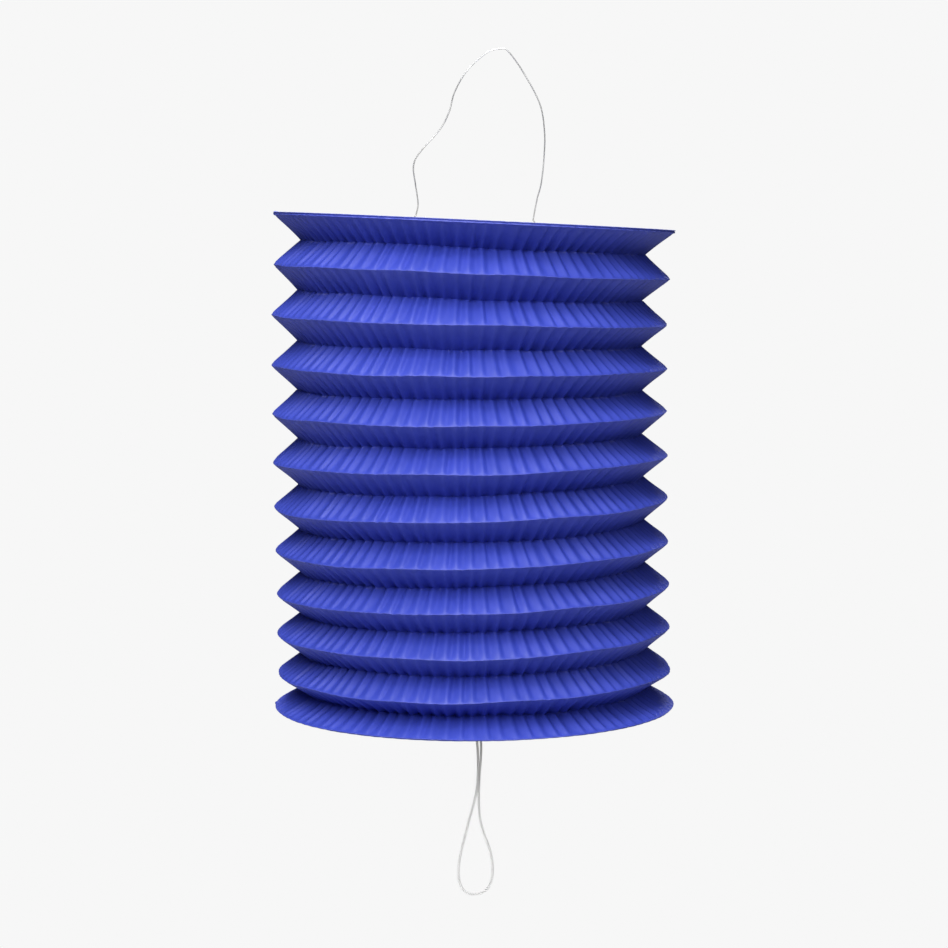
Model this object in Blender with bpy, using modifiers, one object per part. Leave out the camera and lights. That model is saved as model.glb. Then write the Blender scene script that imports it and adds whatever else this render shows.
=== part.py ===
"""Accordion paper lantern: a pleated paper tube between two round cards, hung from a bent wire.

The origin is the hanging point, the underside of the wire's topmost bend. +Z is up, and the
lantern hangs below it, a little to -X, because the wire is bent by hand. Metres throughout.

Each fold of the paper tube lies at a depth below the top card, in the plane that level() gives.
The tube hangs slightly askew: its top folds drop to the right, the lower ones a little to the left,
and it bows to the left above its middle.
"""

import math

import bmesh
import bpy
from mathutils import Matrix, Vector

MM = 0.001

# Paper tube
RIM_RADIUS = 80 * MM  # over the paper that wraps each card's edge
RIDGE_RADIUS = 79 * MM  # outer folds
VALLEY_RADIUS = 67.5 * MM  # inner folds
PLEATS = 11  # one V from each ridge to the next
TOP_PLEAT = 19.4 * MM  # the top pleats carry the rest and hang open
LOW_PLEAT = 16.5 * MM  # the lowest free pleat
LAST_PLEAT = 13.9 * MM  # the one glued to the base card
PAPER_WALL = 0.35 * MM  # the fluted sheet as one plain wall
GAP = 0.3 * MM  # between solids that touch

# End cards and the paper turned over their edges
CARD = 0.6 * MM
CARD_RADIUS = RIM_RADIUS - 0.6 * MM
OPENING_RADIUS = 20.8 * MM
HEM_WALL = 0.25 * MM
HEM_INNER_RADIUS = 68.5 * MM

# How the tube hangs
TOP_DEPTH = 68.2 * MM  # top card's middle plane below the hanging point
AXIS_X = -10.8 * MM  # the tube's axis beside the hanging point
TOP_TILT = math.radians(2.64)
TILT_WAVE = 4.5  # radians of a wave from card to card
TILT_FADE = 0.84  # how fast the wave dies away down the tube, so the base card hangs level
BOW = 5.2 * MM
BOW_FADE = 2.3  # the bow dies away too, so it is widest above the middle

# Wire hanger
WIRE = 0.5 * MM
EYE_RADIUS = 2.4 * MM  # hooked round a strip of card
EYE_SPAN = 21.8 * MM  # each eye from the middle
STRIP = 2 * MM  # card left between the opening and each punched hole
PUNCH_RADIUS = 2.4 * MM

# Candle clip: a bridge of tin over the knot, with prongs, riveted to the base card
TIN = 0.5 * MM
CLIP_WIDTH = 12 * MM
CLIP_HEIGHT = 6.5 * MM
CLIP_TOP = 12 * MM  # half the length of the bridge's top
CLIP_SPREAD = 14 * MM  # half the length between its feet
FOOT_END = 22 * MM
PRONG = (3.2 * MM, TIN, 10 * MM)
PRONG_RADIUS = 6.6 * MM
RIVET_X = 18 * MM
RIVET_HOLE = 1.6 * MM
RIVET_SHANK = 1.3 * MM
RIVET_HEAD = 2.6 * MM
RIVET_CAP = 0.3 * MM

# Pull cord
CORD = 1.1 * MM
CORD_HOLE = 2 * MM
KNOT_RADIUS = 2.6 * MM
KNOT_HEIGHT = 4 * MM

ROUND_STEPS = 64
SMALL_STEPS = 24
MERGE = 0.01 * MM

# The wire's bends from the left eye to the right as (x, z), and the cord's route from its hole in
# the base card, down round the loop and back, as (x, y, z): millimetres, chosen by hand.
WIRE_BENDS = [
    (-33.3, -61.1), (-34.3, -53.2), (-35.1, -47.4), (-34.4, -43.7), (-31.6, -39.7),
    (-24.3, -31.3), (-20.7, -24.4), (-18.7, -17.1), (-13.5, -8.3), (-5.8, -1.5),
    (0.0, 0.0), (2.8, -1.2), (8.6, -9.4), (15.2, -21.9), (17.0, -32.6),
    (16.8, -42.4), (15.8, -52.7), (14.1, -59.2),
]
CORD_ROUTE = [
    (-0.8, 0, 0.3), (-0.5, 0, -6), (0.5, -0.1, -12), (1.1, -0.3, -18), (1.3, -0.5, -24),
    (1.2, -0.7, -30), (0.7, -0.6, -36), (-0.6, -0.3, -42), (-2.4, 0, -48.5), (-4.3, 0, -56),
    (-6.0, 0, -63), (-6.8, 0, -69.5), (-6.2, 0, -75), (-3.9, 0, -78.4), (0.2, 0, -79.3),
    (4.2, 0, -77.7), (6.6, 0, -73.5), (7.1, 0, -67.5), (6.0, 0, -61), (3.9, 0, -55),
    (2.2, 0.1, -49), (1.6, 0.3, -43), (1.6, 0.6, -37), (1.9, 0.7, -30), (2.4, 0.5, -24),
    (2.6, 0.3, -18), (2.1, 0.1, -12), (1.3, 0, -6), (0.8, 0, 0.3),
]

PLAIN_PLEATS = PLEATS - 1
TUBE_HEIGHT = PLAIN_PLEATS * (TOP_PLEAT + LOW_PLEAT) / 2 + LAST_PLEAT


# How the tube hangs ---------------------------------------------------------------------------


def level(depth):
    """The plane of the tube at a depth below the top card: x along the tube's tilted radius."""
    share = depth / TUBE_HEIGHT
    tilt = TOP_TILT * math.exp(-TILT_FADE * share) * math.cos(TILT_WAVE * share)
    bow = -BOW * math.exp(-BOW_FADE * share) * math.sin(math.pi * share)
    place = Matrix.Translation((AXIS_X + bow, 0, -TOP_DEPTH - depth))
    return place @ Matrix.Rotation(tilt, 4, "Y")


def ridge_depth(index):
    """Depth of an outer fold: 0 is the top card's edge, and PLEATS the base card's."""
    if index == PLEATS:
        return TUBE_HEIGHT
    shrink = (TOP_PLEAT - LOW_PLEAT) / (PLAIN_PLEATS - 1)
    return index * TOP_PLEAT - shrink * index * (index - 1) / 2


# Tools ----------------------------------------------------------------------------------------


def clear_scene():
    for obj in list(bpy.data.objects):
        bpy.data.objects.remove(obj)


def new_collection(name):
    collection = bpy.data.collections.new(name)
    bpy.context.scene.collection.children.link(collection)
    return collection


def new_material(name, colour, roughness, metallic=0.0):
    material = bpy.data.materials.new(name)
    material.use_nodes = True
    shader = material.node_tree.nodes["Principled BSDF"]
    shader.inputs["Base Color"].default_value = (*colour, 1)
    shader.inputs["Roughness"].default_value = roughness
    shader.inputs["Metallic"].default_value = metallic
    return material


def add(name, data, collection, material=None, parent=None):
    obj = bpy.data.objects.new(name, data)
    collection.objects.link(obj)
    if material:
        data.materials.append(material)
    obj.parent = parent
    return obj


def mesh_of(name, bm):
    mesh = bpy.data.meshes.new(name)
    bm.to_mesh(mesh)
    bm.free()
    return mesh


def frame(name, matrix, collection):
    """An empty that holds the pieces of one end of the lantern."""
    empty = add(name, None, collection)
    empty.matrix_world = matrix
    return empty


def profile_mesh(name, points, closed=False):
    """A line of edges through (x, z) points, for Screw."""
    bm = bmesh.new()
    verts = [bm.verts.new((x, 0, z)) for x, z in points]
    for first, second in zip(verts, verts[1:] + verts[:1] if closed else verts[1:]):
        bm.edges.new((first, second))
    return mesh_of(name, bm)


def turn(obj, steps=ROUND_STEPS):
    screw = obj.modifiers.new("Turn", "SCREW")
    screw.steps = screw.render_steps = steps
    screw.use_merge_vertices = True
    screw.merge_threshold = MERGE


def thicken(obj, thickness):
    solidify = obj.modifiers.new("Thickness", "SOLIDIFY")
    solidify.thickness = thickness
    solidify.offset = 0
    solidify.use_even_offset = True


def combine(obj, other, operation):
    boolean = obj.modifiers.new(other.name, "BOOLEAN")
    boolean.operation = operation
    boolean.solver = "EXACT"
    boolean.object = other


def helper(name, bm, collection, parent):
    """A cutter, or a shape that a Boolean joins to a part."""
    obj = add(name, mesh_of(name, bm), collection, parent=parent)
    obj.hide_render = True
    obj.display_type = "WIRE"
    return obj


def drill(obj, name, spots, radius, collection, parent):
    """Round holes along Z through obj, at (x, z) spots in its parent's frame."""
    bm = bmesh.new()
    for x, z in spots:
        bmesh.ops.create_cone(
            bm, cap_ends=True, segments=SMALL_STEPS, radius1=radius, radius2=radius,
            depth=4 * CARD, matrix=Matrix.Translation((x, 0, z)),
        )
    combine(obj, helper(name, bm, collection, parent), "DIFFERENCE")


def smooth_line(points, step):
    """Points about step apart on a Catmull-Rom curve through the given ones."""
    fine = []
    padded = [2 * points[0] - points[1], *points, 2 * points[-1] - points[-2]]
    for a, b, c, d in zip(padded, padded[1:], padded[2:], padded[3:]):
        for i in range(20):
            t = i / 20
            fine.append(
                0.5 * (2 * b + (c - a) * t + (2 * a - 5 * b + 4 * c - d) * t**2
                       + (3 * b - a - 3 * c + d) * t**3)
            )
    fine.append(points[-1])
    run = [0.0]
    for a, b in zip(fine, fine[1:]):
        run.append(run[-1] + (b - a).length)
    count = round(run[-1] / step)
    line, at = [], 0
    for i in range(count + 1):
        goal = run[-1] * i / count
        while at < len(run) - 2 and run[at + 1] < goal:
            at += 1
        share = (goal - run[at]) / (run[at + 1] - run[at])
        line.append(fine[at].lerp(fine[at + 1], min(share, 1.0)))
    return line


def tube(name, line, diameter, collection, material):
    curve = bpy.data.curves.new(name, "CURVE")
    curve.dimensions = "3D"
    spline = curve.splines.new("POLY")
    spline.points.add(len(line) - 1)
    for point, place in zip(spline.points, line):
        point.co = (*place, 1)
    curve.bevel_depth = diameter / 2
    curve.bevel_resolution = 2
    curve.use_fill_caps = True
    return add(name, curve, collection, material)


# Pieces ---------------------------------------------------------------------------------------


def make_pleat(index, collection, material):
    """One V of the paper tube, from a ridge in to the valley and out to the next ridge."""
    name = f"pleat_{index + 1:02d}"
    clearance = GAP / 2 + PAPER_WALL / 2
    top, bottom = ridge_depth(index), ridge_depth(index + 1)
    valley = (top + bottom) / 2
    starts = top + (clearance if index else HEM_WALL + CARD / 2 + clearance)
    ends = bottom - (clearance if index < PLEATS - 1 else HEM_WALL + CARD / 2 + clearance)
    home = level(valley)
    folds = [(starts, RIDGE_RADIUS), (valley, VALLEY_RADIUS), (ends, RIDGE_RADIUS)]
    bm = bmesh.new()
    loops = []
    for depth, radius in folds:
        made = bmesh.ops.create_circle(
            bm, segments=ROUND_STEPS, radius=radius, matrix=home.inverted() @ level(depth)
        )
        loops.append({edge for vert in made["verts"] for edge in vert.link_edges})
    for upper, lower in zip(loops, loops[1:]):
        bmesh.ops.bridge_loops(bm, edges=list(upper | lower))
    pleat = add(name, mesh_of(name, bm), collection, material)
    pleat.matrix_world = home
    thicken(pleat, PAPER_WALL)


def card_outline(inner_radius):
    half = CARD / 2
    return [(CARD_RADIUS, half), (CARD_RADIUS, -half), (inner_radius, -half), (inner_radius, half)]


def make_card(name, inner_radius, parent, collection, material):
    """A flat ring of card."""
    mesh = profile_mesh(name, card_outline(inner_radius), closed=True)
    card = add(name, mesh, collection, material, parent)
    turn(card)
    return card


def make_hem(name, side, parent, collection, material):
    """The end of the paper turned over a card's edge and glued to its outer face (side is +1 up)."""
    face = side * (CARD / 2 + GAP + HEM_WALL / 2)
    edge = RIM_RADIUS - HEM_WALL / 2
    points = [(HEM_INNER_RADIUS, face), (edge, face), (edge, -side * CARD / 2)]
    hem = add(name, profile_mesh(name, points), collection, material, parent)
    turn(hem)
    thicken(hem, HEM_WALL)


def eye(side):
    """The hook at one foot of the wire, round the strip of card, from its free end to its leg."""
    first, last, steps = math.radians(-60), math.radians(-320), 20
    middle = level(0) @ Vector((side * EYE_SPAN, 0, 0))
    points = []
    for i in range(steps + 1):
        angle = first + (last - first) * i / steps
        points.append(
            middle + EYE_RADIUS * Vector((side * math.sin(angle), 0, math.cos(angle)))
        )
    return points


def make_hanger(collection, material):
    raised = WIRE / 2
    legs = [Vector((x * MM, 0, z * MM + raised)) for x, z in WIRE_BENDS]
    left, right = eye(-1), eye(1)[::-1]
    run = smooth_line([left[-1], *legs, right[0]], 4 * WIRE)
    tube("hanger_wire", left[:-1] + run + right[1:], WIRE, collection, material)


def make_clip(parent, collection, helpers, material):
    """A strip of tin bent into a bridge, with four prongs that grip a candle."""
    low = CARD / 2 + GAP + TIN / 2
    high = low + CLIP_HEIGHT
    side = [(FOOT_END, low), (CLIP_SPREAD, low), (CLIP_TOP, high)]
    points = [(-x, z) for x, z in side] + side[::-1]
    bm = bmesh.new()
    bm.from_mesh(profile_mesh("clip_side", points))
    strip = bmesh.ops.extrude_edge_only(bm, edges=bm.edges[:])["geom"]
    moved = [item for item in strip if isinstance(item, bmesh.types.BMVert)]
    bmesh.ops.translate(bm, verts=moved, vec=(0, CLIP_WIDTH, 0))
    bmesh.ops.translate(bm, verts=bm.verts[:], vec=(0, -CLIP_WIDTH / 2, 0))
    clip = add("candle_clip", mesh_of("candle_clip", bm), collection, material, parent)
    thicken(clip, TIN)

    prongs = bmesh.new()
    for quarter in range(4):
        turned = Matrix.Rotation(math.radians(45 + 90 * quarter), 4, "Z")
        out = Matrix.Translation((0, PRONG_RADIUS, high + PRONG[2] / 2))
        size = Matrix.Diagonal((*PRONG, 1))
        bmesh.ops.create_cube(prongs, size=1, matrix=turned @ out @ size)
    combine(clip, helper("clip_prongs", prongs, helpers, parent), "UNION")
    spots = [(-RIVET_X, low), (RIVET_X, low)]
    drill(clip, "clip_rivet_holes", spots, RIVET_HOLE, helpers, parent)


def make_rivet(name, x, parent, collection, material):
    """A rivet through the clip's foot and the base card, a head on each side."""
    top = CARD / 2 + GAP + TIN + GAP
    bottom = -CARD / 2 - GAP
    points = [
        (0, top + RIVET_CAP), (RIVET_HEAD, top + RIVET_CAP), (RIVET_HEAD, top),
        (RIVET_SHANK, top), (RIVET_SHANK, bottom), (RIVET_HEAD, bottom),
        (RIVET_HEAD, bottom - RIVET_CAP), (0, bottom - RIVET_CAP),
    ]
    rivet = add(name, profile_mesh(name, points), collection, material, parent)
    rivet.location.x = x
    turn(rivet, SMALL_STEPS)


def make_cord(collection, material):
    """The loop that hangs from the base card, and the knot that keeps it there."""
    base = level(TUBE_HEIGHT)
    route = [base @ (MM * Vector(point)) for point in CORD_ROUTE]
    tube("pull_cord", smooth_line(route, 3 * CORD), CORD, collection, material)


def make_knot(parent, collection, material):
    bm = bmesh.new()
    size = Matrix.Diagonal((KNOT_RADIUS, KNOT_RADIUS, KNOT_HEIGHT / 2, 1))
    bmesh.ops.create_uvsphere(bm, u_segments=16, v_segments=10, radius=1, matrix=size)
    knot = add("cord_knot", mesh_of("cord_knot", bm), collection, material, parent)
    knot.location.z = CARD / 2 + GAP + KNOT_HEIGHT / 2


def shade(collection):
    """Smooth faces, with each corner's normal taken from the larger face, so flat faces look flat."""
    for obj in collection.objects:
        if obj.type == "MESH":
            obj.data.shade_smooth()
            obj.data.set_sharp_from_angle(angle=math.radians(35))
            normals = obj.modifiers.new("Normals", "WEIGHTED_NORMAL")
            normals.keep_sharp = True


def build():
    clear_scene()
    lantern = new_collection("paper_lantern")
    helpers = new_collection("helpers")
    paper = new_material("blue_paper", (0.045, 0.058, 0.56), 0.85)
    card = new_material("card", (0.5, 0.5, 0.48), 0.9)
    steel = new_material("galvanised_wire", (0.6, 0.6, 0.6), 0.35, 1)
    tin = new_material("tin", (0.72, 0.72, 0.7), 0.3, 1)
    cotton = new_material("white_cotton", (0.88, 0.88, 0.86), 0.9)

    make_hanger(lantern, steel)

    top = frame("top_frame", level(0), lantern)
    top_card = make_card("top_card", OPENING_RADIUS, top, lantern, card)
    punch_x = EYE_SPAN + STRIP / 2 + PUNCH_RADIUS
    spots = [(-punch_x, 0), (punch_x, 0)]
    drill(top_card, "wire_holes", spots, PUNCH_RADIUS, helpers, top)
    make_hem("top_hem", 1, top, lantern, paper)

    for index in range(PLEATS):
        make_pleat(index, lantern, paper)

    base = frame("base_frame", level(TUBE_HEIGHT), lantern)
    base_card = make_card("base_card", CORD_HOLE, base, lantern, card)
    spots = [(-RIVET_X, 0), (RIVET_X, 0)]
    drill(base_card, "base_rivet_holes", spots, RIVET_HOLE, helpers, base)
    make_hem("base_hem", -1, base, lantern, paper)
    make_clip(base, lantern, helpers, tin)
    make_rivet("clip_rivet_left", -RIVET_X, base, lantern, tin)
    make_rivet("clip_rivet_right", RIVET_X, base, lantern, tin)
    make_cord(lantern, cotton)
    make_knot(base, lantern, cotton)
    shade(lantern)


build()
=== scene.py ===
"""The looks of the accordion paper lantern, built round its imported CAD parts.

The frame is the CAD's own: the origin is the hanging point, +Z is up, and lengths are in metres.
Each fold of the paper tube lies in the plane that level() gives, as it does in the CAD.
"""

import math

import bmesh
import bpy
import numpy as np
from mathutils import Matrix, Vector


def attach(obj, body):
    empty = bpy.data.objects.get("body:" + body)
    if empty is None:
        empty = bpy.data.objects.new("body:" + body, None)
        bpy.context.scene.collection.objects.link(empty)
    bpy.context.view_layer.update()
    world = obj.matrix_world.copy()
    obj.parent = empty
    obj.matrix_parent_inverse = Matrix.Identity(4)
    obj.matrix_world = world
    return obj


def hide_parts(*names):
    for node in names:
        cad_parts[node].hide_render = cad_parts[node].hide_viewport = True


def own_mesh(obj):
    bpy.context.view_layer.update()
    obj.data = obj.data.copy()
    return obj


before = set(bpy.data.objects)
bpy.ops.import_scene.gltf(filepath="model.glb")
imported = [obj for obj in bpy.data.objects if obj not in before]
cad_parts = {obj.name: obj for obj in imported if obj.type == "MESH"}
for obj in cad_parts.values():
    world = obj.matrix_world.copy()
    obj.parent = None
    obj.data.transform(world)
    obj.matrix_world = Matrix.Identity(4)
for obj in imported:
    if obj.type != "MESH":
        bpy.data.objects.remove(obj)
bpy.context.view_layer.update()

MM = 0.001
TAU = 2 * math.pi
SEED = 11
WIRE_SEED = 16

# The lantern's sizes, as in its CAD ------------------------------------------------------------

RIM_RADIUS = 80 * MM
RIDGE_RADIUS = 79 * MM
VALLEY_RADIUS = 67.5 * MM
PLEATS = 11
TOP_PLEAT = 19.4 * MM
LOW_PLEAT = 16.5 * MM
LAST_PLEAT = 13.9 * MM
CARD = 0.6 * MM
TOP_DEPTH = 68.2 * MM
AXIS_X = -10.8 * MM
TOP_TILT = math.radians(2.64)
TILT_WAVE = 4.5
TILT_FADE = 0.84
BOW = 5.2 * MM
BOW_FADE = 2.3
WIRE = 0.5 * MM
EYE_RADIUS = 2.4 * MM
EYE_SPAN = 21.8 * MM
CORD = 1.1 * MM
KNOT_HEIGHT = 4 * MM

# The wire's bends as (x, z) and the cord's route as (x, y, z), in millimetres, as in the CAD.
WIRE_BENDS = [
    (-33.3, -61.1), (-34.3, -53.2), (-35.1, -47.4), (-34.4, -43.7), (-31.6, -39.7),
    (-24.3, -31.3), (-20.7, -24.4), (-18.7, -17.1), (-13.5, -8.3), (-5.8, -1.5),
    (0.0, 0.0), (2.8, -1.2), (8.6, -9.4), (15.2, -21.9), (17.0, -32.6),
    (16.8, -42.4), (15.8, -52.7), (14.1, -59.2),
]
CORD_ROUTE = [
    (-0.8, 0, 0.3), (-0.5, 0, -6), (0.5, -0.1, -12), (1.1, -0.3, -18), (1.3, -0.5, -24),
    (1.2, -0.7, -30), (0.7, -0.6, -36), (-0.6, -0.3, -42), (-2.4, 0, -48.5), (-4.3, 0, -56),
    (-6.0, 0, -63), (-6.8, 0, -69.5), (-6.2, 0, -75), (-3.9, 0, -78.4), (0.2, 0, -79.3),
    (4.2, 0, -77.7), (6.6, 0, -73.5), (7.1, 0, -67.5), (6.0, 0, -61), (3.9, 0, -55),
    (2.2, 0.1, -49), (1.6, 0.3, -43), (1.6, 0.6, -37), (1.9, 0.7, -30), (2.4, 0.5, -24),
    (2.6, 0.3, -18), (2.1, 0.1, -12), (1.3, 0, -6), (0.8, 0, 0.3),
]

PLAIN_PLEATS = PLEATS - 1
TUBE_HEIGHT = PLAIN_PLEATS * (TOP_PLEAT + LOW_PLEAT) / 2 + LAST_PLEAT

# The fluted paper ------------------------------------------------------------------------------

PAPER = 0.14 * MM
CREASES = 92  # narrow creases round the tube, with a rounded flute between each two
FIRST_CREASE = math.radians(91.2)  # at the back, where the sheet's ends overlap
LAP_FLUTES = 2
LAP = 0.17 * MM  # how far the upper end of the sheet stands off the lower one
LAP_START = 0.7  # how many flutes before the overlap the sheet starts to lift
LAP_RISE = 0.6  # flutes over which it lifts
LAP_FADE = 8  # it lifts from the fold over a leg's first eighth
CREASE_JITTER = 0.07  # share of a flute
FLUTE_DEPTH = 2.05 * MM  # at the valleys, where the sheet is gathered most
RIDGE_FLUTES = (0.3, 0.5)  # their share of that depth near a ridge, above a valley and below it
FLUTE_SPREAD = 0.16  # of the flutes' depths, as a share of the mean
FLUTE_SIZES = (0.6, 1.45)  # their least and greatest depth, as shares of the mean
FLUTE_SKEW = 0.5  # how far a flute's crest may lean to either side
FLUTE_FALL = (0.34, 0.46)  # share of a flute that falls to its right, at a ridge and at a valley
FLUTE_ROUNDING = 0.1  # share of a flute on each side of its crest and creases that is rounded
ROUNDING_STEPS = 5
FLUTE_PHASES = np.arange(12) / 12  # where the columns of points lie in each flute
FADE_FROM_RIDGE = 0.16  # share of a leg over which the flutes rise from the flat fold
RIDGE_SCALLOP = 0.13 * MM  # the flutes' trace in the fold itself
SCALLOP_MEAN = 0.6  # about the mean of a half sine wave
# How far the tube's two ends stand out from a ridge, and off the middle of their cards.
RIM_STEPS = {0: (0.45 * MM, 0.55 * MM), PLEATS: (1.45 * MM, 0.0)}
RIM_WANDER = 0.35  # how much of a free fold's wandering is left where a card holds it
# How far the folds wander outwards and upwards round the tube.
RIDGE_WANDER = (0.22 * MM, 0.28 * MM)
VALLEY_WANDER = (0.22 * MM, 0.22 * MM)
WANDER_WAVES = np.arange(2, 14)  # their waves round the tube
NICK = 0.06 * MM  # a fold's small steps from flute to flute
NICK_UP = 0.5  # how much of each step is upwards as well
DRIFT = 0.07  # how far the creases drift sideways, as a share of a flute
DRIFT_WAVES = 6  # how many of the waves the drift has
DRIFT_TURN = 3.1  # radians of its slow change from card to card
DRIFT_RIPPLE = (0.6, 2.3)  # the size and the rate of a third wave in it
NOSE = 0.14 * MM  # radius of the fold itself
NOSE_ROWS = ((0.5, 0.6), (1.0, 0.1))  # shares of the fold's turn, and how rubbed the paper is there, partly wear and partly a painted highlight
LEG_ROWS = (0.035, 0.07, 0.12, 0.25, 0.42, 0.6, 0.78, 0.9, 0.97, 1)  # shares of a leg's width


def level(depth):
    """The plane of the tube at a depth below the top card: x along the tube's tilted radius."""
    share = depth / TUBE_HEIGHT
    tilt = TOP_TILT * math.exp(-TILT_FADE * share) * math.cos(TILT_WAVE * share)
    bow = -BOW * math.exp(-BOW_FADE * share) * math.sin(math.pi * share)
    place = Matrix.Translation((AXIS_X + bow, 0, -TOP_DEPTH - depth))
    return place @ Matrix.Rotation(tilt, 4, "Y")


def ridge_depth(index):
    """Depth of an outer fold: 0 is the top card's edge, and PLEATS the base card's."""
    if index == PLEATS:
        return TUBE_HEIGHT
    shrink = (TOP_PLEAT - LOW_PLEAT) / (PLAIN_PLEATS - 1)
    return index * TOP_PLEAT - shrink * index * (index - 1) / 2


# Camera ----------------------------------------------------------------------------------------

CAMERA_BACK = 1.0412  # metres in front of the tube's axis
CAMERA_LEFT = 0.2 * MM
CAMERA_DROP = 5.5 * MM  # below the top card
CAMERA_LENS = 98.8  # mm
CAMERA_PITCH = math.radians(5.22)  # downwards


def make_camera():
    camera = bpy.data.objects.new("camera", bpy.data.cameras.new("camera"))
    bpy.context.scene.collection.objects.link(camera)
    camera.data.lens = CAMERA_LENS
    camera.location = (AXIS_X - CAMERA_LEFT, -CAMERA_BACK, -TOP_DEPTH - CAMERA_DROP)
    camera.rotation_euler = (math.pi / 2 - CAMERA_PITCH, 0, 0)
    camera.data.clip_start = 0.05
    bpy.context.scene.camera = camera


# Tools -----------------------------------------------------------------------------------------

CURVE_STEPS = 20  # between two given points of a curve


def add(name, data, material=None):
    """A new object in the scene."""
    obj = bpy.data.objects.new(name, data)
    bpy.context.scene.collection.objects.link(obj)
    if material:
        data.materials.append(material)
    return obj


def grid_mesh(name, rows, closed=False, wear_and_painted_light=None):
    """A smooth mesh through rows of points. It faces out where rows go down and columns go to the
    right of a viewer outside. closed joins the last column to the first. The last argument is a
    value for each point, which the material reads: rubbing, partly a painted highlight, on the
    paper, and painted shade in the cord's grooves."""
    rows = np.asarray(rows)
    height, width = rows.shape[:2]
    index = np.arange(height * width).reshape(height, width)
    if closed:
        index = np.hstack([index, index[:, :1]])
    faces = np.stack([index[:-1, :-1], index[1:, :-1], index[1:, 1:], index[:-1, 1:]], -1)
    mesh = bpy.data.meshes.new(name)
    mesh.from_pydata(rows.reshape(-1, 3).tolist(), [], faces.reshape(-1, 4).tolist())
    mesh.shade_smooth()
    if wear_and_painted_light is not None:
        attribute = mesh.attributes.new("wear_and_painted_light", "FLOAT", "POINT")
        attribute.data.foreach_set("value", np.asarray(wear_and_painted_light, np.float32).ravel())
    return mesh


def smooth_line(points, step):
    """Points about step apart on a Catmull-Rom curve through the given ones."""
    fine = []
    padded = [2 * points[0] - points[1], *points, 2 * points[-1] - points[-2]]
    for a, b, c, d in zip(padded, padded[1:], padded[2:], padded[3:]):
        for i in range(CURVE_STEPS):
            t = i / CURVE_STEPS
            fine.append(
                0.5 * (2 * b + (c - a) * t + (2 * a - 5 * b + 4 * c - d) * t**2
                       + (3 * b - a - 3 * c + d) * t**3)
            )
    fine.append(points[-1])
    run = np.cumsum([0.0] + [(b - a).length for a, b in zip(fine, fine[1:])])
    spots = np.linspace(0, run[-1], round(run[-1] / step) + 1)
    xyz = np.array(fine)
    return np.stack([np.interp(spots, run, xyz[:, axis]) for axis in range(3)], 1)


def rings_along(line, outline):
    """Rows of points round a line: outline(i) gives the radii and angles of ring i."""
    tangents = np.gradient(line, axis=0)
    tangents /= np.linalg.norm(tangents, axis=1, keepdims=True)
    side = np.cross(tangents[0], (0, 1, 0))
    rings = []
    for i, (place, tangent) in enumerate(zip(line, tangents)):
        side = side - tangent * (side @ tangent)
        side /= np.linalg.norm(side)
        up = np.cross(tangent, side)
        radii, angles = outline(i)
        across = np.outer(radii * np.cos(angles), side)
        rings.append(place + across + np.outer(radii * np.sin(angles), up))
    return np.array(rings)


def cap_ends(mesh, width):
    """Closes the first and last ring of a tube made by grid_mesh."""
    bm = bmesh.new()
    bm.from_mesh(mesh)
    bm.verts.ensure_lookup_table()
    count = len(bm.verts)
    for ring in (range(width), range(count - width, count)):
        bm.faces.new([bm.verts[i] for i in ring])
    bmesh.ops.recalc_face_normals(bm, faces=bm.faces[:])
    bm.to_mesh(mesh)
    bm.free()


# Materials -------------------------------------------------------------------------------------


class Nodes:
    """A material's nodes, with each link made as its node is."""

    def __init__(self, name):
        self.material = bpy.data.materials.new(name)
        self.material.use_nodes = True
        self.tree = self.material.node_tree
        self.shader = self.tree.nodes["Principled BSDF"]
        self.place = self.node("ShaderNodeTexCoord").outputs["Object"]

    def node(self, kind, inputs=None, **settings):
        made = self.tree.nodes.new(kind)
        for key, value in settings.items():
            setattr(made, key, value)
        for key, value in (inputs or {}).items():
            if isinstance(value, bpy.types.NodeSocket):
                self.tree.links.new(value, made.inputs[key])
            else:
                made.inputs[key].default_value = value
        return made

    def noise(self, size, detail=2.0, roughness=0.5, stretch=None):
        """Noise from 0 to 1 whose features are about size across."""
        place = self.place
        if stretch:
            place = self.node("ShaderNodeMapping", {"Vector": place, "Scale": stretch}).outputs[0]
        inputs = {"Vector": place, "Scale": 1 / size, "Detail": detail, "Roughness": roughness}
        return self.node("ShaderNodeTexNoise", inputs).outputs["Fac"]

    def fit(self, value, low, high, start=0.0, end=1.0):
        """value's range from low to high as a range from start to end."""
        inputs = {"Value": value, "From Min": low, "From Max": high}
        inputs |= {"To Min": start, "To Max": end}
        return self.node("ShaderNodeMapRange", inputs).outputs[0]

    def math(self, operation, first, second):
        return self.node("ShaderNodeMath", {0: first, 1: second}, operation=operation).outputs[0]

    def feed(self, socket, value):
        """Links a socket to another, or sets it to a colour or a number."""
        if isinstance(value, bpy.types.NodeSocket):
            self.tree.links.new(value, socket)
        elif isinstance(value, tuple):
            socket.default_value = (*value, 1)
        else:
            socket.default_value = value

    def mix(self, share, first, second):
        """Two colours mixed: share is how much of the second."""
        made = self.node("ShaderNodeMix", data_type="RGBA")
        # The colour mix has its factor in socket 0 and its two colours in 6 and 7.
        for index, value in ((0, share), (6, first), (7, second)):
            self.feed(made.inputs[index], value)
        return made.outputs[2]

    def attribute(self, name):
        return self.node("ShaderNodeAttribute", attribute_name=name).outputs["Fac"]

    def bump(self, height, strength, distance, normal=None):
        inputs = {"Height": height, "Strength": strength, "Distance": distance}
        if normal:
            inputs["Normal"] = normal
        return self.node("ShaderNodeBump", inputs).outputs[0]

    def finish(self, **values):
        """Sets the shader's sockets, whose names are given with _ for a space."""
        for key, value in values.items():
            self.feed(self.shader.inputs[key.replace("_", " ")], value)
        return self.material


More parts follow.
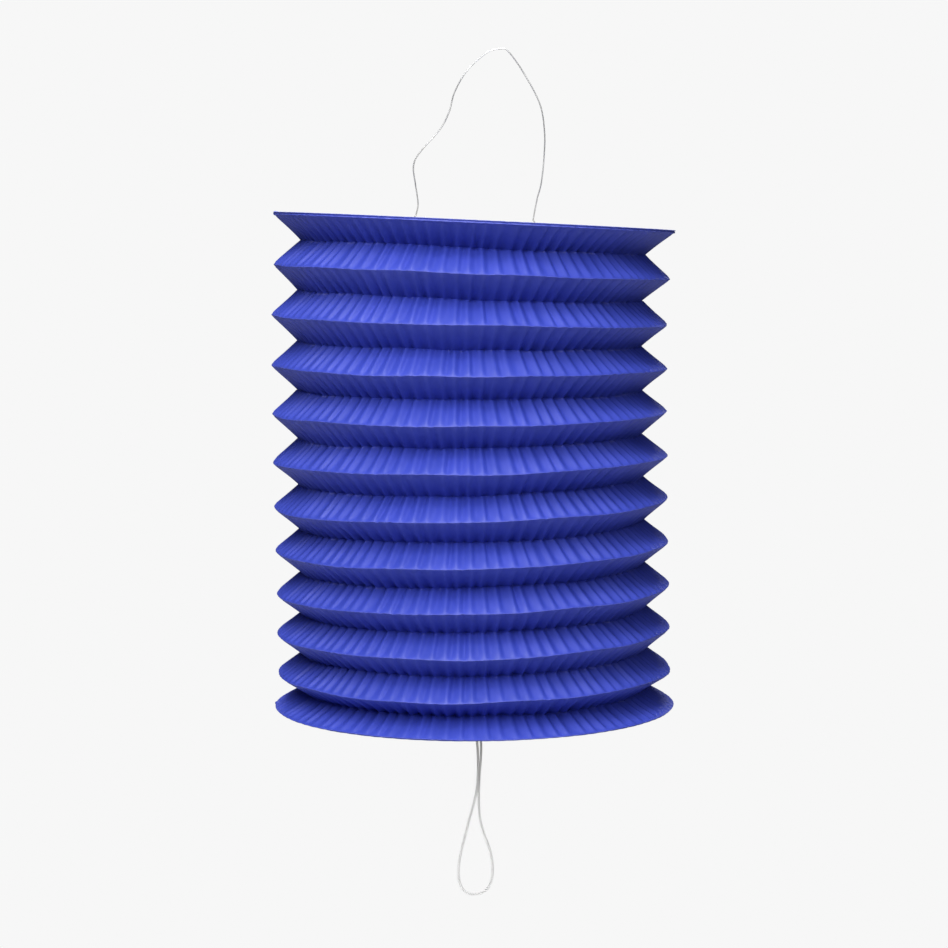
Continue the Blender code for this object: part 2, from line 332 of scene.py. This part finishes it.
def paper_material():
    """Deep blue paper, dyed through, with a faint fibre grain and rubbed folds that are lighter,
    partly from wear and partly as a painted highlight.
    """
    n = Nodes("blue_paper")
    fibre = n.noise(0.35 * MM, 3, 0.6)
    cloud = n.noise(9 * MM, 3)
    colour = n.mix(n.fit(cloud, 0.3, 0.7), (0.03, 0.054, 0.43), (0.037, 0.062, 0.48))
    colour = n.mix(n.fit(fibre, 0.35, 0.75, 0, 0.12), colour, (0.06, 0.09, 0.6))
    patchy = n.fit(n.noise(2.2 * MM, 3), 0.38, 0.62, 0.15, 1)
    rub_and_painted_highlight = n.math("MULTIPLY", n.attribute("wear_and_painted_light"), patchy)
    # Lighter where rubbed: partly worn fibres, and partly a painted highlight on the folds and the
    # rims.
    colour = n.mix(n.math("MULTIPLY", rub_and_painted_highlight, 0.5), colour, (0.2, 0.23, 0.8))
    grain = n.bump(fibre, 0.25, 0.05 * MM)
    grain = n.bump(n.noise(2.5 * MM, 2), 0.2, 0.12 * MM, grain)
    return n.finish(
        Base_Color=colour,
        Roughness=n.fit(fibre, 0.3, 0.7, 0.52, 0.62),
        Specular_IOR_Level=0.6,
        Normal=grain,
    )


def card_material():
    """Grey board: recycled fibre with dark and light specks."""
    n = Nodes("grey_card")
    cloud = n.noise(6 * MM, 4)
    speck = n.noise(0.5 * MM, 2, 0.7)
    colour = n.mix(n.fit(cloud, 0.3, 0.7), (0.33, 0.31, 0.28), (0.43, 0.41, 0.37))
    colour = n.mix(n.fit(speck, 0.62, 0.72), colour, (0.19, 0.18, 0.17))
    colour = n.mix(n.fit(speck, 0.36, 0.28), colour, (0.6, 0.58, 0.54))
    return n.finish(
        Base_Color=colour,
        Roughness=n.fit(cloud, 0.3, 0.7, 0.82, 0.94),
        Normal=n.bump(speck, 0.3, 0.06 * MM),
    )


def wire_material():
    """Galvanised wire, dulled in patches and finely drawn."""
    n = Nodes("galvanised_wire")
    patch = n.noise(6 * MM, 3)
    drawn = n.noise(0.3 * MM, 2, stretch=(1, 1, 0.15))
    return n.finish(
        Base_Color=n.mix(n.fit(patch, 0.35, 0.7), (0.68, 0.69, 0.7), (0.84, 0.84, 0.83)),
        Metallic=1.0,
        Roughness=n.fit(patch, 0.3, 0.7, 0.38, 0.5),
        Normal=n.bump(drawn, 0.1, 0.01 * MM),
    )


def tin_material():
    """Tinplate: dull, with soft rolling lines and a few darker spots."""
    n = Nodes("tin")
    rolled = n.noise(0.4 * MM, 3, stretch=(0.06, 1, 1))
    spots = n.noise(3 * MM, 4, 0.65)
    return n.finish(
        Base_Color=n.mix(n.fit(spots, 0.5, 0.75), (0.36, 0.355, 0.34), (0.26, 0.255, 0.24)),
        Metallic=1.0,
        Roughness=n.fit(rolled, 0.3, 0.7, 0.5, 0.68),
        Normal=n.bump(rolled, 0.15, 0.03 * MM),
    )


def cotton_material():
    """Bleached cotton, soft and fibrous, with painted shade in the grooves between its plies."""
    n = Nodes("white_cotton")
    fibre = n.noise(0.12 * MM, 3, 0.7)
    painted_groove_shade = n.attribute("wear_and_painted_light")
    colour = n.mix(n.fit(fibre, 0.3, 0.7), (0.9, 0.9, 0.89), (0.96, 0.96, 0.955))
    return n.finish(
        # Painted shade: the cotton is darkened towards the grooves between the plies.
        Base_Color=n.mix(painted_groove_shade, colour, (0.16, 0.16, 0.16)),
        Roughness=0.92,
        Sheen_Weight=0.25,
        Normal=n.bump(fibre, 0.5, 0.06 * MM),
    )


# Cord ------------------------------------------------------------------------------------------

PLY_LAY = 3.4 * MM  # length of one turn of a ply
PLIES = 3
PLY_SIDES = 24  # points round the cord
PLY_SHAPE = (0.55, 0.45, 0.8)  # radius of the grooves, rise of the plies over it, its power
GROOVE_SHADE = (1.5, 1.2)  # how wide the painted shade of a groove is, and its power
CORD_STEP = 0.2 * MM
KNOT_POINTS = 150
KNOT_SCALE = 0.66 * MM
KNOT_WEAVE = 1.25 * MM  # how far the knot's strands pass over and under
KNOT_SINK = 0.2 * MM


def twisted_tube(name, line, material):
    """A cord of three twisted plies along a line, with painted shade in the grooves between them.
    """
    turn = np.linspace(0, TAU, PLY_SIDES, endpoint=False)
    step = np.linalg.norm(line[1] - line[0])
    hollow, rise, power = PLY_SHAPE
    bulge = np.abs(np.cos(PLIES * turn / 2)) ** power

    def outline(i):
        return CORD / 2 * (hollow + rise * bulge), turn + TAU * i * step / PLY_LAY

    rings = rings_along(line, outline)
    width, fade = GROOVE_SHADE
    # Painted shade for the grooves between the plies, darkest where the plies dip in.
    painted_groove_shade = np.tile(np.clip(width * (1 - bulge), 0, 1) ** fade, (len(line), 1))
    mesh = grid_mesh(name, rings, closed=True, wear_and_painted_light=painted_groove_shade)
    cap_ends(mesh, PLY_SIDES)
    return add(name, mesh, material)


def make_cord(material):
    """The doubled cord below the base card, ending in a loop, and the knot that keeps it there."""
    base = level(TUBE_HEIGHT)
    line = smooth_line([base @ (MM * Vector(point)) for point in CORD_ROUTE], CORD_STEP)
    cord = twisted_tube("loop_cord", line, material)

    knot_line = []  # a trefoil
    for t in np.linspace(0, TAU, KNOT_POINTS, endpoint=False):
        across = Vector((math.sin(t) + 2 * math.sin(2 * t), math.cos(t) - 2 * math.cos(2 * t), 0))
        high = CARD / 2 + KNOT_HEIGHT / 2 - KNOT_SINK - KNOT_WEAVE * math.sin(3 * t)
        knot_line.append(base @ (KNOT_SCALE * across + Vector((0, 0, high))))
    knot = twisted_tube("loop_knot", np.array(knot_line), material)
    for piece, node in ((cord, "pull_cord"), (knot, "cord_knot")):
        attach(piece, "base")
        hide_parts(node)


# Paper tube ------------------------------------------------------------------------------------


def smoothstep(value):
    value = np.clip(value, 0, 1)
    return value * value * (3 - 2 * value)


def wobble(random, orders, reach):
    """A smooth random function of the angle round the tube, up to about reach."""
    sizes = random.uniform(0.4, 1, len(orders)) / np.sqrt(orders)
    sizes *= reach / np.sqrt((sizes**2).sum())
    phases = random.uniform(0, TAU, len(orders))
    return lambda angle: sum(
        size * np.cos(order * angle + phase) for size, order, phase in zip(sizes, orders, phases)
    )


class Sheet:
    """The fluted sheet: its creases, its columns of points and its random wear, all seeded."""

    def __init__(self):
        random = np.random.default_rng(SEED)
        pitch = TAU / CREASES
        creases = FIRST_CREASE + pitch * (
            np.arange(CREASES) + CREASE_JITTER * random.uniform(-1, 1, CREASES)
        )
        creases = np.concatenate([creases, creases[: LAP_FLUTES + 1] + TAU])
        flutes = np.repeat(np.arange(CREASES + LAP_FLUTES), len(FLUTE_PHASES))
        phases = np.tile(FLUTE_PHASES, CREASES + LAP_FLUTES)
        self.flute = np.append(flutes, CREASES + LAP_FLUTES - 1)
        self.phase = np.append(phases, 1.0)
        start, end = creases[self.flute], creases[self.flute + 1]
        self.angle = start + self.phase * (end - start)
        around = self.flute + self.phase
        self.lap = LAP * smoothstep((around - CREASES + LAP_START) / LAP_RISE)
        legs, folds = (2 * PLEATS, CREASES), (PLEATS + 1, CREASES)
        self.skew = random.uniform(-FLUTE_SKEW, FLUTE_SKEW, legs)
        self.size = np.clip(1 + FLUTE_SPREAD * random.standard_normal(legs), *FLUTE_SIZES)
        few_waves = WANDER_WAVES[:DRIFT_WAVES]
        self.drifts = [wobble(random, few_waves, DRIFT * pitch) for _ in range(3)]

        def wanders(count, reach):
            return [wobble(random, WANDER_WAVES, reach) for _ in range(count)]

        self.ridge_out, self.ridge_up = (wanders(PLEATS + 1, reach) for reach in RIDGE_WANDER)
        self.valley_out, self.valley_up = (wanders(PLEATS, reach) for reach in VALLEY_WANDER)
        self.nick = NICK * random.standard_normal(folds)
        self.hang = random.standard_normal(folds)  # how far each flute's scallop rises or falls

    def between(self, values):
        """Values at the creases, taken straight across each flute."""
        left = values[self.flute % CREASES]
        right = values[(self.flute + 1) % CREASES]
        return left + (right - left) * self.phase

    def profile(self, leg, fall):
        """How far each column stands out from the leg's mean surface, for flutes of depth 1 that
        rise slowly from their left crease and fall over the given share of their width."""
        lean = self.skew[leg][self.flute % CREASES]
        phase = self.phase + lean * self.phase * (1 - self.phase)
        bulge = -0.5  # a sharp flute's mean height
        for shift in FLUTE_ROUNDING * np.linspace(-1, 1, ROUNDING_STEPS):
            place = (phase + shift) % 1
            sharp = np.minimum(place / (1 - fall), (1 - place) / fall)
            bulge = bulge + sharp / ROUNDING_STEPS
        return bulge * self.between(self.size[leg])

    def drift(self, depth):
        """How far the creases stray sideways at a depth, which changes slowly down the tube."""
        wave = DRIFT_TURN * depth / TUBE_HEIGHT
        size, rate = DRIFT_RIPPLE
        first, second, third = (drift(self.angle) for drift in self.drifts)
        ripple = size * third * math.cos(rate * wave)
        return first * math.cos(wave) + second * math.sin(wave) + ripple


def leg_rows(sheet, index, side):
    """Rows of points from a pleat's ridge to its valley: side is 0 for the upper leg and 1 for the
    lower. Returns the rows and how rubbed each is. The rubbing lightens the fold's nose, partly
    as wear and partly as a painted highlight."""
    ridge_index = index + side
    top, bottom = ridge_depth(index), ridge_depth(index + 1)
    valley = (top + bottom) / 2
    rim_out, rim_off = RIM_STEPS.get(ridge_index, (0.0, 0.0))
    down = 1 if side == 0 else -1  # depth grows from the ridge to the valley, or shrinks
    ridge = ridge_depth(ridge_index) + down * rim_off
    drop = abs(valley - ridge)
    reach = RIDGE_RADIUS - VALLEY_RADIUS
    slant = math.hypot(drop, reach)
    out, along = drop / slant, reach / slant  # the leg's outward normal is (out, -down * along)
    leg = 2 * index + side
    angle = sheet.angle
    scallop = RIDGE_SCALLOP * (np.sin(math.pi * sheet.phase) - SCALLOP_MEAN)
    free = RIM_WANDER if rim_out else 1.0
    nick = sheet.between(sheet.nick[ridge_index])
    hang = sheet.between(sheet.hang[ridge_index])
    wander_out = sheet.ridge_out[ridge_index](angle) + nick + scallop
    wander_up = sheet.ridge_up[ridge_index](angle) + NICK_UP * nick + scallop * hang
    ridge_shift = free * wander_out + sheet.lap + rim_out, free * wander_up
    valley_shift = sheet.valley_out[index](angle), sheet.valley_up[index](angle)

    turn = math.atan2(reach, drop)
    # Each row's distance in from the ridge, its distance down from it, how rubbed it is, and the
    # share of the leg that it has covered. The rubbing lightens the fold's nose, partly as wear
    # and partly as a painted highlight.
    spots = [(0.0, 0.0, 1.0, 0.0)]
    for share, rub_and_highlight in NOSE_ROWS:
        deep = NOSE * math.sin(turn * share)
        spots.append((NOSE * (1 - math.cos(turn * share)), deep, rub_and_highlight, deep / drop))
    tip = 0.0 if rim_out else NOSE * (1 / math.cos(turn) - 1)
    for share in LEG_ROWS:
        back = share * (reach + tip) - tip
        spots.append((back, share * drop, 0.0, share))
    rows, wear_and_painted_light = [], []
    for back, deep, rub_and_highlight, share in spots:
        rise = smoothstep(share / FADE_FROM_RIDGE)
        rise *= RIDGE_FLUTES[side] + (1 - RIDGE_FLUTES[side]) * share**2
        fall = FLUTE_FALL[0] + (FLUTE_FALL[1] - FLUTE_FALL[0]) * share
        flutes = FLUTE_DEPTH * sheet.profile(leg, fall)
        stand = flutes * rise + sheet.lap * min(1, share * LAP_FADE)
        # The two legs of a fold meet in one plane, so near it the flutes stand out level.
        mitre = (2 * share - 1) ** 2
        radial = stand * (out + (1 / out - out) * mitre)
        axial = stand * along * (1 - mitre) * down
        near_ridge, near_valley = (1 - share) ** 2, share**2
        radius = RIDGE_RADIUS - back + radial
        radius = radius + ridge_shift[0] * near_ridge + valley_shift[0] * near_valley
        lift = -axial + ridge_shift[1] * near_ridge + valley_shift[1] * near_valley
        theta = angle + sheet.drift(ridge + down * deep)
        plane = np.array(level(ridge + down * deep))
        local = np.stack([radius * np.cos(theta), radius * np.sin(theta), lift], 1)
        rows.append(local @ plane[:3, :3].T + plane[:3, 3])
        wear_and_painted_light.append(np.full(len(theta), rub_and_highlight))
    return rows, wear_and_painted_light


def make_pleat(sheet, index, material):
    """One V of the tube, which flattens as the lantern is drawn shut."""
    upper, upper_rub_and_highlight = leg_rows(sheet, index, 0)
    lower, lower_rub_and_highlight = leg_rows(sheet, index, 1)
    rows = upper + lower[-2::-1]
    wear_and_painted_light = upper_rub_and_highlight + lower_rub_and_highlight[-2::-1]
    name = f"paper_pleat_{index + 1:02d}"
    mesh = grid_mesh(name, rows, wear_and_painted_light=wear_and_painted_light)
    sharpen(mesh, len(rows[0]), [len(upper) - 1])
    pleat = add(name, mesh, material)
    thicken(pleat)
    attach(pleat, f"fold_{index + 1:02d}")
    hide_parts(f"pleat_{index + 1:02d}")
    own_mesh(pleat)


def sharpen(mesh, width, folds=()):
    """Marks a sheet's open edges sharp, and the rows where it folds, so that they are shaded
    crisply."""
    bm = bmesh.new()
    bm.from_mesh(mesh)
    for edge in bm.edges:
        row = edge.verts[0].index // width
        folded = row in folds and edge.verts[1].index // width == row
        edge.smooth = not (edge.is_boundary or folded)
    bm.to_mesh(mesh)
    bm.free()


def thicken(obj):
    """Gives a sheet the paper's thickness, inwards."""
    solidify = obj.modifiers.new("Thickness", "SOLIDIFY")
    solidify.thickness = PAPER
    solidify.offset = -1


# Paper turned over the cards' edges ------------------------------------------------------------

HEM_WIDTH = 11 * MM
HEM_ROWS = (0.15, 0.35, 0.6, 0.85, 1.0)  # shares of that width on the card's outer face
HEM_RAGGED = (0.35 * MM, 0.4 * MM)  # its torn edge's steps between flutes, and its wandering
HEM_WAVES = np.arange(2, 20)  # the wandering's waves round the tube
HEM_SLACK = 0.1 * MM  # how far it stands off the card's edge
HEM_RIPPLES = (0.12 * MM, 0.05 * MM)  # the flutes in it, outwards and upwards
TUCK = 0.13 * MM  # how far each flattened flute rises over the next on the card
TUCK_BEND = 0.15  # how curved that rise is
EDGE_RUB = 0.15  # how rubbed the torn edge is
CURL = (math.pi, 3.5 * MM)  # the loose curl in each rim on the left: its angle and half width
CURL_POWER = 1.5  # how soon it dies away
# The turned-over paper in section, from the card's inner face round its edge to its outer face:
# distance out from the rim and height outwards from the card's middle plane, both in mm, and how
# rubbed it is. Round the card's edge that rubbing lightens the bead, partly as wear and partly as
# a painted highlight.
TOP_SECTION = [
    (-7.0, -0.5, 0.0), (-2.5, -0.52, 0.0), (-1.4, -0.66, 0.0), (-0.75, -0.78, 0.0),
    (-0.42, -0.7, 0.2), (-0.22, -0.58, 0.6), (-0.17, -0.46, 0.9), (-0.3, -0.3, 0.9),
    (-0.46, -0.12, 0.3), (-0.44, 0.0, 0.0), (-0.12, 0.34, 0.0), (-0.1, 0.42, 0.0),
    (-0.22, 0.5, 0.0), (-0.6, 0.53, 0.0), (-1.2, 0.5, 0.0),
]
BASE_SECTION = [
    (-7.0, -0.48, 0.0), (-2.0, -0.5, 0.0), (-0.9, -0.4, 0.0), (-0.5, -0.14, 0.0),
    (-0.15, 0.04, 0.0), (-0.02, 0.2, 0.2), (-0.04, 0.36, 0.1), (-0.2, 0.49, 0.0),
    (-0.5, 0.53, 0.0), (-0.8, 0.52, 0.0), (-1.2, 0.5, 0.0),
]
TOP_CURL = (0.95 * MM, -0.67 * MM)  # the curls' radii, and how far their middles stand out
BASE_CURL = (0.75 * MM, 0.1 * MM)


def make_hem(sheet, name, node, body, depth, side, outline, curled, material):
    """The end of the sheet, wrapped round a card's edge and glued down on its outer face, which is
    the upper one for side 1 and the lower one for -1. Its edge is rolled into a small curl at the
    left."""
    random = np.random.default_rng(SEED + side)
    plane = np.array(level(depth))
    angle = sheet.angle
    ripple = np.sin(math.pi * sheet.phase) - SCALLOP_MEAN
    tuck = sheet.phase * (1 - TUCK_BEND * np.sin(TAU * sheet.phase))
    ragged = sheet.between(HEM_RAGGED[0] * random.standard_normal(CREASES))
    ragged += wobble(random, HEM_WAVES, HEM_RAGGED[1])(angle)
    slack = sheet.between(HEM_SLACK * np.abs(random.standard_normal(CREASES)))
    turned = np.abs((angle - CURL[0] + math.pi) % TAU - math.pi) * RIM_RADIUS
    curl = np.clip(1 - turned / CURL[1], 0, 1) ** CURL_POWER
    curl_radius, curl_out = curled
    section = [(back * MM, high * MM, rub_and_highlight) for back, high, rub_and_highlight in outline]
    last_back, last_high, _ = section[-1]
    for share in HEM_ROWS:
        back = last_back - share * (HEM_WIDTH + last_back)
        section.append((back, last_high, EDGE_RUB * (share == 1)))
    rows, wear_and_painted_light = [], []
    # The rubbing is wear, and round the card's edge it is also a painted highlight.
    for row, (back, high, rub_and_highlight) in enumerate(section):
        inward = max(0, row - len(outline) + 1) / len(HEM_ROWS)
        loose = (HEM_RIPPLES[0] * ripple + slack) * (1 - inward)
        radius = RIM_RADIUS + back + loose + ragged * inward**4
        lift = high + sheet.lap + TUCK * tuck * min(1, 2 * inward) + HEM_RIPPLES[1] * ripple
        if inward == 0:
            roll = math.pi * (row / (len(outline) - 1) - 0.5)
            rolled = RIM_RADIUS + curl_out + curl_radius * math.cos(roll)
            radius = radius + (rolled - radius) * curl
            lift = lift + (curl_radius * math.sin(roll) - lift) * curl
        local = np.stack([radius * np.cos(angle), radius * np.sin(angle), side * lift], 1)
        rows.append(local @ plane[:3, :3].T + plane[:3, 3])
        wear_and_painted_light.append(np.full(len(angle), rub_and_highlight))
    if side > 0:
        rows, wear_and_painted_light = rows[::-1], wear_and_painted_light[::-1]
    mesh = grid_mesh(name, rows, wear_and_painted_light=wear_and_painted_light)
    sharpen(mesh, len(angle))
    hem = add(name, mesh, material)
    thicken(hem)
    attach(hem, body)
    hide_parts(node)


# Wire hanger -----------------------------------------------------------------------------------

EYE_ARC = np.radians(np.linspace(-60, -320, 40))  # from straight up, outwards; free end first
WIRE_STEP = 0.6 * MM
WIRE_KINKS = (0.1 * MM, 0.5 * MM, 0.1 * MM)  # along x, y and z
KINK_WAVES = range(4, 26)  # their half waves along the wire
WIRE_SIDES = 16


def eye(side):
    """The hook at one foot of the wire, from its free end to its leg."""
    middle = level(0) @ Vector((side * EYE_SPAN, 0, 0))
    return [
        middle + EYE_RADIUS * Vector((side * math.sin(angle), 0, math.cos(angle)))
        for angle in EYE_ARC
    ]


def make_wire(material):
    """The bent wire, with the small kinks that fingers leave."""
    random = np.random.default_rng(WIRE_SEED)
    legs = [Vector((x * MM, 0, z * MM + WIRE / 2)) for x, z in WIRE_BENDS]
    left, right = eye(-1), eye(1)[::-1]
    run = smooth_line([left[-1], *legs, right[0]], WIRE_STEP)
    share = np.linspace(0, 1, len(run))
    hold = np.sin(math.pi * share) ** 0.5
    for axis, reach in enumerate(WIRE_KINKS):
        kinks = sum(
            random.uniform(-1, 1) / wave * np.sin(math.pi * wave * share) for wave in KINK_WAVES
        )
        run[:, axis] += reach * 2 * kinks * hold
    line = np.concatenate([np.array(left[:-1]), run, np.array(right[1:])])
    turn = np.linspace(0, TAU, WIRE_SIDES, endpoint=False)
    rings = rings_along(line, lambda i: (np.full(WIRE_SIDES, WIRE / 2), turn))
    mesh = grid_mesh("bent_wire", rings, closed=True)
    cap_ends(mesh, WIRE_SIDES)
    wire = add("bent_wire", mesh, material)
    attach(wire, "hanger")
    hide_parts("hanger_wire")


# Stage -----------------------------------------------------------------------------------------

BACKDROP = 0.93  # how bright the camera sees it
ROOM = (0.32, 0.05, 0.1)  # how bright the lantern sees it straight down, level and straight up
FLOOR_HEIGHT = -0.75
FLOOR_RADIUS = 1.4
FLOOR_FADE = (0.45, 1.3)  # the radii where it starts and ends
SOFTBOX_AWAY = 1.5  # metres from the middle of the tube
# Azimuth and elevation in degrees, width and height in metres, and power in watts.
SOFTBOXES = {
    "key": (-16, 43, (0.7, 1.0), 20),
    "fill": (14, 27, (0.7, 1.0), 5),
    "overhead": (-14, 74, (0.7, 1.0), 14),
    "back": (176, 45, (0.9, 1.0), 15),
    "cord": (-10, 14, (0.5, 0.5), 18),
}


def make_floor():
    """A plain pale floor under the hanging lantern, which fades out with distance."""
    n = Nodes("floor")
    radial = n.node("ShaderNodeVectorMath", {0: n.place}, operation="LENGTH").outputs["Value"]
    n.finish(
        Base_Color=n.mix(n.noise(0.5, 2), (0.86, 0.86, 0.86), (0.88, 0.88, 0.88)),
        Roughness=0.9,
        Specular_IOR_Level=0.1,
        Alpha=n.fit(radial, *FLOOR_FADE, 1, 0),
    )
    bm = bmesh.new()
    bmesh.ops.create_circle(bm, cap_ends=True, segments=96, radius=FLOOR_RADIUS)
    mesh = bpy.data.meshes.new("floor")
    bm.to_mesh(mesh)
    bm.free()
    floor = add("floor", mesh, n.material)
    floor.location = (AXIS_X, 0, FLOOR_HEIGHT)


def make_world():
    """A plain bright backdrop, and a dimmer room that lights the paper, mostly from below."""
    world = bpy.data.worlds.new("studio")
    world.use_nodes = True
    bpy.context.scene.world = world
    tree = world.node_tree
    place = tree.nodes.new("ShaderNodeTexCoord")
    split = tree.nodes.new("ShaderNodeSeparateXYZ")
    spread = tree.nodes.new("ShaderNodeMapRange")
    spread.inputs["From Min"].default_value = -1
    ramp = tree.nodes.new("ShaderNodeValToRGB")
    tree.links.new(place.outputs["Generated"], split.inputs[0])
    tree.links.new(split.outputs["Z"], spread.inputs["Value"])
    tree.links.new(spread.outputs[0], ramp.inputs[0])
    elements = ramp.color_ramp.elements
    elements[0].position, elements[1].position = 0.0, 1.0
    elements.new(0.5)
    for element, bright in zip(elements, ROOM):
        element.color = (bright, bright, bright, 1)
    room = tree.nodes["Background"]
    tree.links.new(ramp.outputs[0], room.inputs["Color"])
    backdrop = tree.nodes.new("ShaderNodeBackground")
    backdrop.inputs["Color"].default_value = (BACKDROP, BACKDROP, BACKDROP, 1)
    seen = tree.nodes.new("ShaderNodeLightPath").outputs["Is Camera Ray"]
    choose = tree.nodes.new("ShaderNodeMixShader")
    for socket, output in zip(choose.inputs, (seen, room.outputs[0], backdrop.outputs[0])):
        tree.links.new(output, socket)
    tree.links.new(choose.outputs[0], tree.nodes["World Output"].inputs["Surface"])


def add_softbox(name, azimuth, elevation, size, watts):
    """A soft light aimed at the middle of the tube. Azimuth 0 is in front, and 90 to the right."""
    light = bpy.data.lights.new(name, "AREA")
    light.shape = "RECTANGLE"
    light.size, light.size_y = size
    light.energy = watts
    lamp = add(name, light)
    a, e = math.radians(azimuth), math.radians(elevation)
    away = Vector((math.sin(a) * math.cos(e), -math.cos(a) * math.cos(e), math.sin(e)))
    lamp.location = Vector((AXIS_X, 0, -TOP_DEPTH - TUBE_HEIGHT / 2)) + SOFTBOX_AWAY * away
    lamp.rotation_euler = away.to_track_quat("Z", "Y").to_euler()
    lamp.visible_camera = False
    return lamp


def light_cord(lamp):
    """Keeps a lamp's light to the cord and its knot, which hang in the shade of the base."""
    lit = bpy.data.collections.new("lit_cord")
    for name in ("loop_cord", "loop_knot"):
        lit.objects.link(bpy.data.objects[name])
    lamp.light_linking.receiver_collection = lit


# The scene -------------------------------------------------------------------------------------

make_camera()
cotton = cotton_material()
make_cord(cotton)

paper, card, steel, tin = paper_material(), card_material(), wire_material(), tin_material()
sheet = Sheet()
for pleat_index in range(PLEATS):
    make_pleat(sheet, pleat_index, paper)
make_hem(sheet, "top_turnover", "top_hem", "top", 0, 1, TOP_SECTION, TOP_CURL, paper)
make_hem(
    sheet, "base_turnover", "base_hem", "base", TUBE_HEIGHT, -1, BASE_SECTION, BASE_CURL, paper
)
make_wire(steel)

for node, material in (
    ("top_card", card), ("base_card", card), ("candle_clip", tin),
    ("clip_rivet_left", tin), ("clip_rivet_right", tin),
):
    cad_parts[node].data.materials.clear()
    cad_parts[node].data.materials.append(material)

make_floor()
make_world()
lamps = {name: add_softbox(name, *settings) for name, settings in SOFTBOXES.items()}
light_cord(lamps["cord"])
bpy.context.scene.view_settings.view_transform = "Standard"
